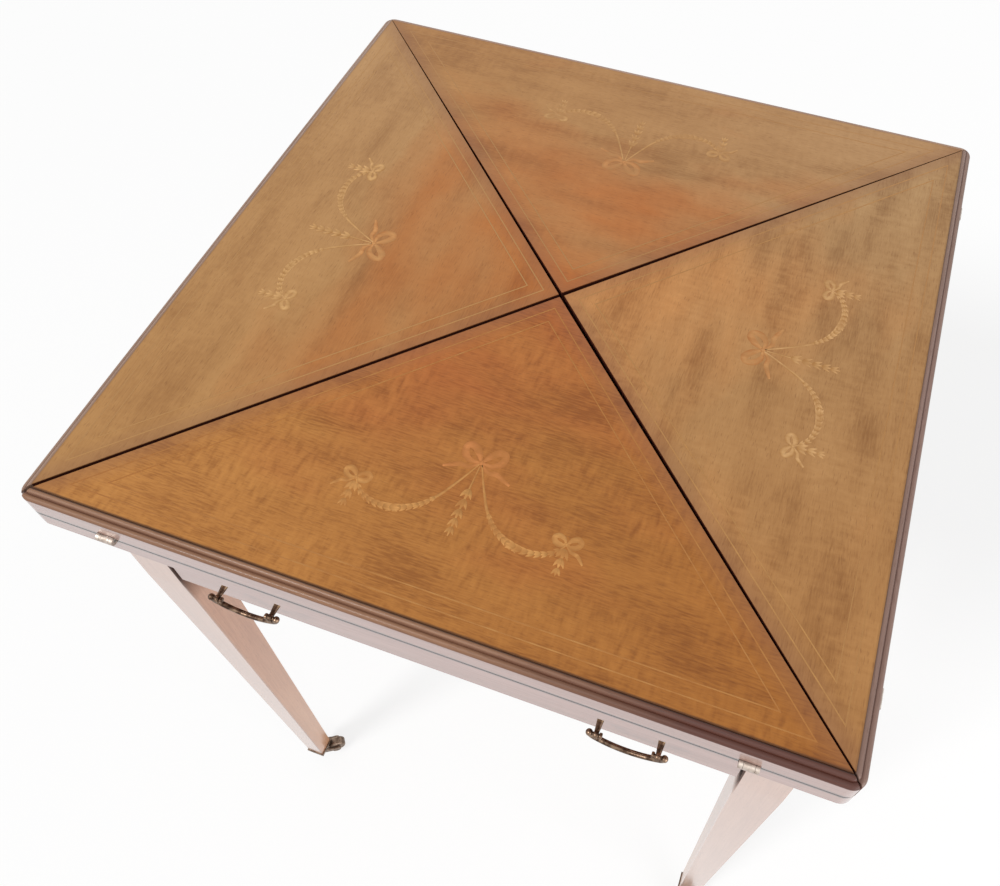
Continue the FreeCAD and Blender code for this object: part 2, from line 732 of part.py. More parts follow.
def handle_nut():
    """Round nut on the shank, inside the drawer."""
    return along_drawer(handle_nut_radius, (drawer_front_back, drawer_front_back + handle_nut_thickness))


def handle_bail():
    """Bow hanging outside the eyes from two beads, whose pins pass inwards to end buttons.

    The bow is three tangent arcs: a small one below each bead and a long one along the bottom.
    """
    inner_run = bead_place - bail_corner_radius
    inner_drop = bail_drop - bail_corner_radius
    long_rise = (inner_run ** 2 - inner_drop ** 2) / (2 * inner_drop)
    long_half_turn = math.degrees(math.atan2(inner_run, long_rise))
    bead_centre = Vector(bead_place, eye_line, handle_level)
    corner_centre = Vector(inner_run, eye_line, handle_level)
    long_centre = Vector(0, eye_line, handle_level + long_rise)
    low_point = Vector(0, eye_line, handle_level - bail_drop)

    corner_section = Part.Face(Part.Wire(Part.makeCircle(bail_radius, bead_centre, Z_AXIS)))
    corner = corner_section.revolve(corner_centre, Y_AXIS, 90 - long_half_turn)
    long_section = Part.Face(Part.Wire(Part.makeCircle(bail_radius, low_point, X_AXIS)))
    long_section.rotate(long_centre, Y_AXIS, -long_half_turn)
    long_arc = long_section.revolve(long_centre, Y_AXIS, 2 * long_half_turn)

    button_end = post_half - eye_half - bail_end_gap
    button = lying(bail_button_radius, (button_end - bail_button_width, button_end), eye_line, handle_level)
    button = button.makeFillet(bail_button_round, [edge for edge in button.Edges if len(edge.Vertexes) == 1])
    pin = lying(bail_pin_radius, (button_end - bail_button_width / 2, bead_place), eye_line, handle_level)
    end = joined([corner, Part.makeSphere(bail_bead_radius, bead_centre), pin, button])
    return joined([long_arc, end, mirrored(end, X_AXIS)])


post = handle_post()
post_places = [hand * handle_centre + side * post_half for hand in (-1, 1) for side in (-1, 1)]
posts = [moved(post, x) for x in post_places]
nut_solid = handle_nut().cut(post)

save("drawer_front", [without(front_block, [side_right, side_left, drawer_bottom] + posts)])
save("drawer_sides", [without(side_left, [drawer_bottom]), without(side_right, [drawer_bottom])])
save("drawer_back", [drawer_back])
save("drawer_bottom", [drawer_bottom])
save("handle_posts", posts)
save("handle_nuts", [moved(nut_solid, x) for x in post_places])
save("handle_bail_left", [moved(handle_bail(), -handle_centre)])
save("handle_bail_right", [moved(handle_bail(), handle_centre)])
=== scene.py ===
import math

import bmesh
import bpy
import numpy as np
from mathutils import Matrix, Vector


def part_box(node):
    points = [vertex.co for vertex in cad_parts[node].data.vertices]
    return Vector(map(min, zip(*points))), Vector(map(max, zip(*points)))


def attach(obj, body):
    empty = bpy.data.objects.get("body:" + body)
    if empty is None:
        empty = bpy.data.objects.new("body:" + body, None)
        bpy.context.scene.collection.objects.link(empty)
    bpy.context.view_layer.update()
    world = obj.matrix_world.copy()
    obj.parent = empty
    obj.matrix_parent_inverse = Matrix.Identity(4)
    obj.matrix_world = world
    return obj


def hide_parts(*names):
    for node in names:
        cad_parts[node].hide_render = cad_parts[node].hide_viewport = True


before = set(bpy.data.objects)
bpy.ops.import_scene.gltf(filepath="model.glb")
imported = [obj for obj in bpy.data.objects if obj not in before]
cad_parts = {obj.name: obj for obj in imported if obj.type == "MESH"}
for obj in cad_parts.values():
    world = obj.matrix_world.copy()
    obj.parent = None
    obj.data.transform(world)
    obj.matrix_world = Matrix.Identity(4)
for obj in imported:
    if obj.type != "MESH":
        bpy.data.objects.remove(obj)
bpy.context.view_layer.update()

# Legs, rails and drawer front: the standing frame and the face of its drawer. Solid mahogany,
# planed, stained and French polished, so a clear shellac lies over the grain.
# Rails are tenoned into the legs, and the drawer front is lapped over its sides.
X, Y, Z = 0, 1, 2
CORNERS = ("front_left", "front_right", "back_left", "back_right")
rail_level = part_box("back_rail")[0].z
leg_inside, leg_outside = (corner.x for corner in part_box("leg_back_right"))
leg_axis = (leg_inside + leg_outside) / 2
# Dark, middle and pale tones of mahogany as it was, bleached by light and partly paled by
# painted sheen of the floor's reflection, and greyed by light
MAHOGANY_TONES = ("#935f43", "#a26e50", "#ad7b5d")
BLEACHED_AND_SHEEN_TONES = ("#9e735c", "#a97e65", "#b0876e")
GREYED_TONES = ("#7f584c", "#8c655a", "#987167")
MAHOGANY_PORE = "#7a4a34"
# Roughness of sound polish, and of polish that dirt has dulled
POLISHED, DULLED = 0.32, 0.95
# What lies over a leg's grain: on its outer faces a pale tone, partly bleaching and partly
# painted sheen, and on its inner ones a warm tone with painted light bounced from the floor,
# whose share changes from the foot to the knee, and dirt with painted shade
LEG_BLEACH_AND_SHEEN, LEG_WARMTH_AND_BOUNCE, LEG_DIRT_AND_SHADE = "#b9a49a", "#dcae8a", "#2b1a18"
BLEACH_AND_SHEEN_SHARE, FOOT_SHARE, KNEE_SHARE, DIRT_AND_SHADE_SHARE = 0.38, 0.42, 0.14, 0.9
FOOT_LEVEL, KNEE_LEVEL = 0.05, 0.4
# Polish left on the inner faces
INNER_POLISH = 0.65
# How far dirt and painted shade come down from the rails, how deep they go round a leg's inner
# edges, and the widths over which they and the outer faces' tone end
DIRT_AND_SHADE_DROP, DIRT_AND_SHADE_DEPTH, DIRT_AND_SHADE_END, OUTER_FACE_END = 0.045, 0.0012, 0.0004, 0.002


def linear(hex_colour):
    """An sRGB hex colour as linear red, green, blue and alpha."""
    srgb = np.array([int(hex_colour[i:i + 2], 16) for i in (1, 3, 5)]) / 255
    low, high = srgb / 12.92, ((srgb + 0.055) / 1.055) ** 2.4
    return (*np.where(srgb <= 0.04045, low, high).tolist(), 1.0)


def add(tree, kind, inputs=(), stops=(), **settings):
    """Add a node with its settings and, for a ramp, its stops of place and colour, of which a
    new ramp has two. Fill its live inputs, in order or by name, from another node's first live
    output, from a socket or with a plain value."""
    node = tree.nodes.new("ShaderNode" + kind)
    for name, value in settings.items():
        setattr(node, name, value)
    for _ in stops[2:]:
        node.color_ramp.elements.new(1.0)
    for number, (place, colour) in enumerate(stops):
        node.color_ramp.elements[number].position = place
        node.color_ramp.elements[number].color = linear(colour)
    live = [socket for socket in node.inputs if socket.enabled]
    if isinstance(inputs, dict):
        live = [next(socket for socket in live if socket.name == name) for name in inputs]
        inputs = inputs.values()
    for socket, value in zip(live, inputs):
        if isinstance(value, bpy.types.Node):
            value = next(output for output in value.outputs if output.enabled)
        if isinstance(value, bpy.types.NodeSocket):
            tree.links.new(value, socket)
        else:
            socket.default_value = value
    return node


def new_finish(name):
    """An empty material, its node tree, and the point on the object that its patterns read."""
    material = bpy.data.materials.new(name)
    material.use_nodes = True
    material.node_tree.nodes.clear()
    point = add(material.node_tree, "TexCoord").outputs["Object"]
    return material, material.node_tree, point


def streaks(tree, point, axis, length, width, detail=2.0, seed=0.0):
    """Noise drawn out along one axis: its marks are about length by width, in millimetres."""
    size = np.full(3, float(width))
    size[axis] = length
    stretched = add(tree, "Mapping", {
        "Vector": point, "Location": (seed, seed, seed), "Scale": (1000 / size).tolist()})
    return add(tree, "TexNoise", {
        "Vector": stretched, "Scale": 1.0, "Detail": detail, "Roughness": 0.55})


def wood_grain(tree, point, axis, tones, pore, seed):
    """Colour of straight-grained wood, and its pores. Broad bands and fine streaks along the
    grain choose between three tones, and short open pores are filled with darker polish.
    Fibres and pores are drawn several times as wide as they are, so that they show."""
    bands = streaks(tree, point, axis, length=260, width=14, detail=3.0, seed=seed)
    fibres = streaks(tree, point, axis, length=70, width=1.3, seed=seed + 5)
    specks = streaks(tree, point, axis, length=9, width=0.7, detail=1.0, seed=seed + 9)
    pores = add(tree, "MapRange", (specks, 0.6, 0.7))
    tone = add(tree, "Mix", (0.45, bands, fibres))
    wood = add(tree, "ValToRGB", (tone,), tuple(zip((0.34, 0.5, 0.66), tones)))
    filled = add(tree, "MapRange", (pores, 0.0, 1.0, 0.0, 0.5))
    return add(tree, "Mix", (filled, wood, linear(pore)), data_type="RGBA"), pores


def shellac(tree, colour, pores, cover=1.0, roughness=POLISHED):
    """Clear polish over a wood colour, with the pores as small dents under it. Its cover is 1
    where it is whole and 0 where the wood is bare."""
    dents = add(tree, "Bump", {"Strength": 0.25, "Distance": 0.00004, "Height": pores}, invert=True)
    shader = add(tree, "BsdfPrincipled", {
        "Base Color": colour, "Roughness": roughness, "IOR": 1.5, "Normal": dents,
        "Coat Weight": cover, "Coat Roughness": 0.14, "Coat IOR": 1.5})
    add(tree, "OutputMaterial", {"Surface": shader})


def polished_wood(name, axis, tones, pore, seed):
    """Solid wood under shellac, with its grain along one axis: a soft shine over fine streaks."""
    material, tree, point = new_finish(name)
    shellac(tree, *wood_grain(tree, point, axis, tones, pore, seed))
    return material


def leg_wood(name):
    """Mahogany with upright grain. Its outer faces are paled, partly bleached by light and partly
    painted sheen of the floor's reflection. The inner ones have kept a warm tone under thinner
    polish, with painted light bounced from the floor that grows towards the foot, and in the corner
    under the rails and the drawer dirt and painted shade darken them, and the dirt dulls them."""
    material, tree, point = new_finish(name)
    grain, pores = wood_grain(tree, point, Z, MAHOGANY_TONES, MAHOGANY_PORE, seed=0.0)
    place = add(tree, "SeparateXYZ", (point,)).outputs
    sides = [add(tree, "Math", (place[i],), operation="ABSOLUTE") for i in (X, Y)]
    both = add(tree, "Math", sides, operation="ADD")
    inner = add(tree, "MapRange", (both, 2 * leg_axis - OUTER_FACE_END, 2 * leg_axis, 1.0, 0.0))
    # Outer faces paled: partly bleaching, partly painted sheen of the floor's reflection
    bleach_and_sheen = add(tree, "MapRange", (inner, 0.0, 1.0, BLEACH_AND_SHEEN_SHARE, 0.0))
    bleached_and_sheened = add(tree, "Mix", (bleach_and_sheen, grain, linear(LEG_BLEACH_AND_SHEEN)), data_type="RGBA")
    # Painted light bounced from the floor: the inner faces' warm tone grows towards the foot
    warmth_and_bounce = add(tree, "MapRange", (place[Z], FOOT_LEVEL, KNEE_LEVEL, FOOT_SHARE, KNEE_SHARE))
    warmed_and_lit = add(tree, "Math", (inner, warmth_and_bounce), operation="MULTIPLY")
    colour = add(tree, "Mix", (warmed_and_lit, bleached_and_sheened, linear(LEG_WARMTH_AND_BOUNCE)), data_type="RGBA")

    # Dirt and painted shade on the inner faces, in the corner under the rails and the drawer
    inward = add(tree, "Math", sides, operation="MINIMUM")
    dirt_and_shade_edge = leg_inside + DIRT_AND_SHADE_DEPTH
    facing = add(tree, "MapRange", (inward, dirt_and_shade_edge, dirt_and_shade_edge + DIRT_AND_SHADE_END, 1.0, 0.0))
    high = add(tree, "MapRange", (place[Z], rail_level - DIRT_AND_SHADE_DROP, rail_level, 0.0, DIRT_AND_SHADE_SHARE))
    dirt_and_shade = add(tree, "Math", (facing, high), operation="MULTIPLY")
    clean = add(tree, "MapRange", (dirt_and_shade, 0.0, DIRT_AND_SHADE_SHARE, 1.0, 0.0))
    thinned = add(tree, "MapRange", (inner, 0.0, 1.0, 1.0, INNER_POLISH))
    shellac(tree, add(tree, "Mix", (dirt_and_shade, colour, linear(LEG_DIRT_AND_SHADE)), data_type="RGBA"), pores,
            cover=add(tree, "Math", (clean, thinned), operation="MULTIPLY"),
            roughness=add(tree, "MapRange", (dirt_and_shade, 0.0, DIRT_AND_SHADE_SHARE, POLISHED, DULLED)))
    return material


def dress(material, *names):
    """Give CAD nodes their finish."""
    for name in names:
        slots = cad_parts[name].data.materials
        slots.clear()
        slots.append(material)


dress(leg_wood("mahogany_legs"), *(f"leg_{corner}" for corner in CORNERS))
# Rails in bleached tones, which are partly painted sheen
dress(polished_wood("mahogany_cross_rails", X, BLEACHED_AND_SHEEN_TONES, MAHOGANY_PORE, seed=3.0),
      "back_rail", "front_top_rail", "front_bottom_rail")
dress(polished_wood("mahogany_side_rails", Y, BLEACHED_AND_SHEEN_TONES, MAHOGANY_PORE, seed=7.0),
      "side_rail_left", "side_rail_right")
dress(polished_wood("greyed_mahogany_front", X, GREYED_TONES, MAHOGANY_PORE, seed=3.0),
      "drawer_front")


# Inside of the frame and the drawer: the bearer that carries the swivel, the runners, and the
# drawer's sides, back and bottom. Planed oak, waxed but not polished, jointed and glued.
def planed_oak(name, axis, seed):
    """Dull wood straight from the plane: long annual bands and short ray flecks."""
    material, tree, point = new_finish(name)
    bands = streaks(tree, point, axis, length=400, width=7, detail=3.0, seed=seed)
    rays = streaks(tree, point, axis, length=14, width=0.8, detail=1.0, seed=seed + 4)
    flecks = add(tree, "MapRange", (rays, 0.55, 0.72))
    wood = add(tree, "ValToRGB", (bands,), ((0.36, "#8d6a43"), (0.64, "#b08d60")))
    marked = add(tree, "MapRange", (flecks, 0.0, 1.0, 0.0, 0.45))
    colour = add(tree, "Mix", (marked, wood, linear("#6d4e30")), data_type="RGBA")
    dents = add(tree, "Bump", {"Strength": 0.3, "Distance": 0.0001, "Height": flecks}, invert=True)
    shader = add(tree, "BsdfPrincipled", {
        "Base Color": colour, "Roughness": 0.62, "IOR": 1.5, "Normal": dents})
    add(tree, "OutputMaterial", {"Surface": shader})
    return material


dress(planed_oak("planed_oak_across", X, seed=0.0), "pivot_bearer", "drawer_back", "drawer_bottom")
dress(planed_oak("planed_oak_deep", Y, seed=6.0), "drawer_runners", "drawer_sides")


# Swivel: bolt, washer and nut that hold the tray to the bearer, turned from mild steel and left
# bare, so that it has gone grey-brown. The hinge pins are cut from wire of the same steel.
def bare_steel(name):
    """Turned mild steel with thin brown staining in cloudy patches, rougher where it is brown."""
    material, tree, point = new_finish(name)
    colouring = streaks(tree, point, Z, length=6, width=6, detail=4.0)
    brown, grey = 0.35, 0.6
    shader = add(tree, "BsdfPrincipled", {
        "Base Color": add(tree, "ValToRGB", (colouring,), ((brown, "#6a5c50"), (grey, "#8f8d89"))),
        "Metallic": 1.0, "Roughness": add(tree, "MapRange", (colouring, brown, grey, 0.55, 0.34))})
    add(tree, "OutputMaterial", {"Surface": shader})
    return material


dress(bare_steel("mild_steel"), "pivot_bolt", "pivot_washer", "pivot_nut", "hinge_pins")


# Castors, handles and swivel bush: cast and turned brass, its lacquer long gone, so the metal is
# dark brown with rubbed lighter patches. Castors are driven up into the legs, and the bails
# swing in posts that are nutted behind the drawer front.
BRASS_SKIN, BRASS_RUBBED, BRASS_ROUGHNESS = "#45342a", "#937a66", 0.34
# How much rougher than the rest the dark skin is, and how much smoother the rubbed metal
SKIN_ROUGHER, RUBBED_SMOOTHER = 0.12, 0.06
# How far in front of the drawer the posts go over to pale metal, partly a painted highlight,
# and over what half width
ROSE_REACH, ROSE_BLEND = 0.006, 0.003


def aged_brass(name, dark, rubbed, roughness, pale_metal_and_highlight_from=None):
    """Old brass: a dark skin with lighter metal where hands and cloths have rubbed it. It can
    go over to pale metal behind a given y, which is partly a painted highlight."""
    material, tree, point = new_finish(name)
    skin = streaks(tree, point, Z, length=4, width=4, detail=5.0)
    kept, worn = 0.38, 0.66
    colour = add(tree, "ValToRGB", (skin,), ((kept, dark), (worn, rubbed)))
    if pale_metal_and_highlight_from is not None:
        # Pale metal by the rose, partly a painted highlight
        depth = add(tree, "SeparateXYZ", (point,)).outputs[Y]
        pale_metal_and_highlight = add(tree, "MapRange", (depth, pale_metal_and_highlight_from - ROSE_BLEND, pale_metal_and_highlight_from + ROSE_BLEND))
        colour = add(tree, "Mix", (pale_metal_and_highlight, colour, linear("#cdb185")), data_type="RGBA")
    pits = add(tree, "Bump", {"Strength": 0.2, "Distance": 0.00015, "Height": skin})
    dulled = add(tree, "MapRange", (
        skin, kept, worn, roughness + SKIN_ROUGHER, roughness - RUBBED_SMOOTHER))
    shader = add(tree, "BsdfPrincipled", {
        "Base Color": colour, "Metallic": 1.0, "Normal": pits, "Roughness": dulled})
    add(tree, "OutputMaterial", {"Surface": shader})
    return material


dress(aged_brass("dark_aged_brass", BRASS_SKIN, BRASS_RUBBED, BRASS_ROUGHNESS),
      "handle_nuts", "handle_bail_left", "handle_bail_right", "pivot_bush", "stop_pin")
# The posts' pale band by the rose is partly a painted highlight
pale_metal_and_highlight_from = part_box("drawer_front")[0].y - ROSE_REACH
dress(aged_brass("brass_pale_and_highlit_at_rose", BRASS_SKIN, BRASS_RUBBED, BRASS_ROUGHNESS, pale_metal_and_highlight_from),
      "handle_posts")
castor_brass = aged_brass("dull_castor_brass", "#66554a", "#9c8776", roughness=0.44)
dress(castor_brass, "castor_plates")
for corner in CORNERS:
    dress(castor_brass, f"castor_fork_{corner}", f"castor_wheel_{corner}")


# Tray under the leaves: a core board with a dished counter well in each corner, stained dark,
# and lipped all round with mitred mahogany that has greyed like the drawer front. Dirt and
# painted shade darken the joint between the lipping and the leaves.
joint_level = (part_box("tray_lipping")[1].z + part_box("leaf_rim_front")[0].z) / 2
# Where dirt and painted shade in the joint begin to thin and where they end, above and below
# the joint, and their largest share
JOINT_DIRT_AND_SHADE_THINS, JOINT_DIRT_AND_SHADE_ENDS, JOINT_DIRT_AND_SHADE_SHARE = 0.0014, 0.0026, 0.95
# What counts as an upright face: a share of 0 and of 1, this far inside the outermost point
FACE_STARTS, FACE_WHOLE = 0.0012, 0.0006


def along_sides(tree, point):
    """The point with x and y changed over on the left and right of the top, so that what
    runs along x follows all four sides and meets in a mitre at the corners."""
    place = add(tree, "SeparateXYZ", (point,)).outputs
    across = [add(tree, "Math", (place[i],), operation="ABSOLUTE") for i in (X, Y)]
    beside = add(tree, "Math", across, operation="GREATER_THAN")
    turned_point = add(tree, "CombineXYZ", (place[Y], place[X], place[Z]))
    return add(tree, "Mix", (beside, point, turned_point), data_type="VECTOR")


def dirt_and_shade_in_joint(tree, point, colour, outer):
    """Dirt and painted shade above and below the joint between the tray and the leaves, on the
    upright faces that lie `outer` from the centre."""
    place = add(tree, "SeparateXYZ", (point,)).outputs
    # Dirt and painted shade, darkest at the joint, only on the upright faces
    above = add(tree, "Math", (place[Z], joint_level), operation="SUBTRACT")
    apart = add(tree, "Math", (above,), operation="ABSOLUTE")
    near = add(tree, "MapRange", (apart, JOINT_DIRT_AND_SHADE_THINS, JOINT_DIRT_AND_SHADE_ENDS, JOINT_DIRT_AND_SHADE_SHARE, 0.0))
    out = add(tree, "Math", (place[Y],), operation="ABSOLUTE")
    upright = add(tree, "MapRange", (out, outer - FACE_STARTS, outer - FACE_WHOLE))
    dirt_and_shade = add(tree, "Math", (near, upright), operation="MULTIPLY")
    return add(tree, "Mix", (dirt_and_shade, colour, linear("#32180e")), data_type="RGBA")


def lipping_wood(name):
    """Greyed mahogany under shellac, its grain along each side, with dirt and painted shade by the
    joint.
    """
    material, tree, point = new_finish(name)
    point = along_sides(tree, point)
    colour, pores = wood_grain(tree, point, X, GREYED_TONES, MAHOGANY_PORE, seed=11.0)
    shellac(tree, dirt_and_shade_in_joint(tree, point, colour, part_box("tray_lipping")[1].x), pores)
    return material


dress(lipping_wood("mahogany_lipping"), "tray_lipping")
dress(polished_wood("dark_mahogany_board", X, ("#4f2415", "#6b3722", "#80492f"), "#32140b", seed=2.0),
      "tray_board")


# Linings: green woollen baize, glued flat into shallow recesses in the tray and under each
# leaf, with a round hole cut at every counter well. Its nap is felted, so no thread shows.
SIDES = ("front", "right", "back", "left")
BAIZE_THICKNESS = 0.0008
WELL_PLACE, WELL_HOLE = 0.216, 0.0303
# Faces along a corner's side, along the middle, from a hole to its square, and on a leaf
CORNER_STEPS, MIDDLE_STEPS, HOLE_RINGS = 16, 40, 5
LEAF_ROWS, LEAF_COLUMNS = 30, 40
MERGE_DISTANCE = 1e-7


def woollen_baize(name):
    """Felted wool: soft cloudy green, a fine nap as bump, and sheen from its fibre ends.
    The nap is under half a millimetre in truth and is drawn at 1.2 mm, so that it shows."""
    material, tree, point = new_finish(name)
    cloud = streaks(tree, point, X, length=60, width=45, detail=3.0)
    nap = streaks(tree, point, X, length=1.2, width=1.2, detail=3.0)
    tone = add(tree, "Mix", (0.5, cloud, nap))
    fuzz = add(tree, "Bump", {"Strength": 0.6, "Distance": 0.0003, "Height": nap})
    shader = add(tree, "BsdfPrincipled", {
        "Base Color": add(tree, "ValToRGB", (tone,), ((0.35, "#274a30"), (0.65, "#3d6845"))),
        "Roughness": 0.95, "IOR": 1.5, "Normal": fuzz, "Sheen Weight": 0.35, "Sheen Roughness": 0.5})
    add(tree, "OutputMaterial", {"Surface": shader})
    return material


def mesh_of(name, patches, merge=True):
    """One object from grids of points, each an array of rows x columns x 3, in metres: every
    four neighbours in a grid make a face. Points that fall together on seams are merged,
    unless the patches are separate pieces."""
    points, faces, count = [], [], 0
    for patch in patches:
        rows, columns, _ = patch.shape
        first = np.arange(rows - 1)[:, None] * columns + np.arange(columns - 1) + count
        square = np.stack([first, first + 1, first + columns + 1, first + columns], -1)
        faces.append(square.reshape(-1, 4))
        points.append(patch.reshape(-1, 3))
        count += rows * columns
    mesh = bpy.data.meshes.new(name)
    mesh.from_pydata(np.concatenate(points).tolist(), [], np.concatenate(faces).tolist())
    if merge:
        work = bmesh.new()
        work.from_mesh(mesh)
        bmesh.ops.remove_doubles(work, verts=work.verts, dist=MERGE_DISTANCE)
        bmesh.ops.dissolve_degenerate(work, edges=work.edges, dist=MERGE_DISTANCE)
        work.to_mesh(mesh)
        work.free()
    piece = bpy.data.objects.new(name, mesh)
    bpy.context.collection.objects.link(piece)
    return piece


def flat_patch(x_range, y_range, columns, rows, level):
    """A level rectangle: x and y go evenly from one limit to the other."""
    x, y = np.meshgrid(np.linspace(*x_range, columns + 1), np.linspace(*y_range, rows + 1))
    return np.stack([x, y, np.full_like(x, level)], -1)


def holed_corner(centre, half, level):
    """A square with a round hole: from each point of the hole's rim the patch goes straight
    out, along the line from the hole's centre, to a point on the square."""
    side = np.linspace(-half, half, CORNER_STEPS + 1)[:-1]
    edge = np.stack([side, np.full_like(side, -half)], -1)
    quarters = [edge @ np.array([[c, s], [-s, c]]) for c, s in ((1, 0), (0, 1), (-1, 0), (0, -1))]
    loop = np.concatenate(quarters + [edge[:1]])
    rim = loop / np.linalg.norm(loop, axis=1, keepdims=True) * WELL_HOLE
    share = np.linspace(1, 0, HOLE_RINGS + 1)[:, None, None]
    flat = rim + (loop - rim) * share + centre
    return np.concatenate([flat, np.full(flat.shape[:2] + (1,), level)], -1)


def glue_down(cloth, body, node):
    """Finish a cut baize: its thickness, its finish and its place on a body; and hide the CAD baize
    node it stands for.
    """
    felt = cloth.modifiers.new("felt", "SOLIDIFY")
    felt.thickness = BAIZE_THICKNESS
    felt.offset = -1.0
    cloth.data.materials.append(green_baize)
    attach(cloth, body)
    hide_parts(node)


green_baize = woollen_baize("green_baize")
tray_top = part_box("tray_baize")[1]
tray_half = tray_top.x
corner_half = tray_half - WELL_PLACE
inner = WELL_PLACE - corner_half
cut = [flat_patch((-inner, inner), (-inner, inner), MIDDLE_STEPS, MIDDLE_STEPS, tray_top.z)]
for strip in ((-tray_half, -inner), (inner, tray_half)):
    cut.append(flat_patch(strip, (-inner, inner), CORNER_STEPS, MIDDLE_STEPS, tray_top.z))
    cut.append(flat_patch((-inner, inner), strip, MIDDLE_STEPS, CORNER_STEPS, tray_top.z))
cut += [holed_corner((x, y), corner_half, tray_top.z)
        for x in (-WELL_PLACE, WELL_PLACE) for y in (-WELL_PLACE, WELL_PLACE)]
glue_down(mesh_of("tray_baize_cloth", cut), "top", "tray_baize")


def on_leaf(along, out, side):
    """x and y of a point that lies `along` a leaf's outer edge and `out` from the centre."""
    angle = math.radians(90 * SIDES.index(side))
    return (along * math.cos(angle) + out * math.sin(angle),
            along * math.sin(angle) - out * math.cos(angle))


# A leaf's cloth is a triangle: each row is as wide as its share of the way from apex to base
share, width = np.meshgrid(np.linspace(0, 1, LEAF_ROWS + 1), np.linspace(-1, 1, LEAF_COLUMNS + 1),
                           indexing="ij")
for side in SIDES:
    low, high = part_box(f"leaf_baize_{side}")
    run = X if side in ("front", "back") else Y
    half_base = (high[run] - low[run]) / 2
    apex, base = sorted((abs(low[1 - run]), abs(high[1 - run])))
    x, y = on_leaf(width * share * half_base, apex + share * (base - apex), side)
    cloth = mesh_of(f"leaf_baize_cloth_{side}", [np.stack([x, y, np.full_like(x, low.z)], -1)])
    glue_down(cloth, f"leaf_{side}", f"leaf_baize_{side}")


# Leaves: four triangular panels, veneered with straight-grained mahogany that has faded to a
# warm gold, and French polished long ago. The grain runs along each leaf's outer edge; the
# panel's own edges and its underside have kept their dark colour.
under_level, top_level = (corner.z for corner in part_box("leaf_panel_front"))
field_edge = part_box("leaf_panel_right")[1].x
VENEER_THICKNESS = 0.0006
VENEER_ROUGHNESS, VENEER_SHINE = 0.3, 0.32
# How far up the underside's tone goes, past the recess for the baize, and how sharply it ends
UNDER_REACH, TONE_END = 0.0012, 0.0001
# For each leaf: its tone by the middle of the top, and the tones it has faded to at its edge's
# two ends, from low x or y to high
LEAF_TONES = {"front": ("#b26730", "#c08341", "#a96b2c"),
              "right": ("#c88c52", "#b2804b", "#b28b5d"),
              "back": ("#b96d31", "#b6844d", "#b68c5e"),
              "left": ("#b97236", "#bd8d56", "#be9260")}
# From where to where, out from the centre, the middle's tone fades to the edge's, how far that
# drifts either way, and how far from an edge's middle its two end tones are whole
FADE_STARTS, FADE_ENDS, FADE_DRIFT, END_TONE_REACH = 0.02, 0.2, 0.09, 0.2
# How thickly old polish and painted shade darken the step between each leaf's veneer and its
# rim, and from where to where inside the veneer's edge
EDGE_DIRT_AND_SHADE = {"front": 0.8, "right": 0.25, "back": 0.1, "left": 0.15}
EDGE_DIRT_AND_SHADE_STARTS, EDGE_DIRT_AND_SHADE_WHOLE = 0.0014, 0.0004
# How far grime reaches from the mitres, measured along a leaf's edge, and its share at them
GRIME_REACH, GRIME_SHARE = 0.024, 0.45
# For each leaf: the share of fine fibres in its grain, the strongest mottle across it, and how
# far the grain goes either way before it is fully dark or pale
FIGURE = {"front": (0.56, 0.6, 0.11), "right": (0.3, 0.35, 0.12), "back": (0.36, 0.3, 0.15),
          "left": (0.36, 0.25, 0.2)}


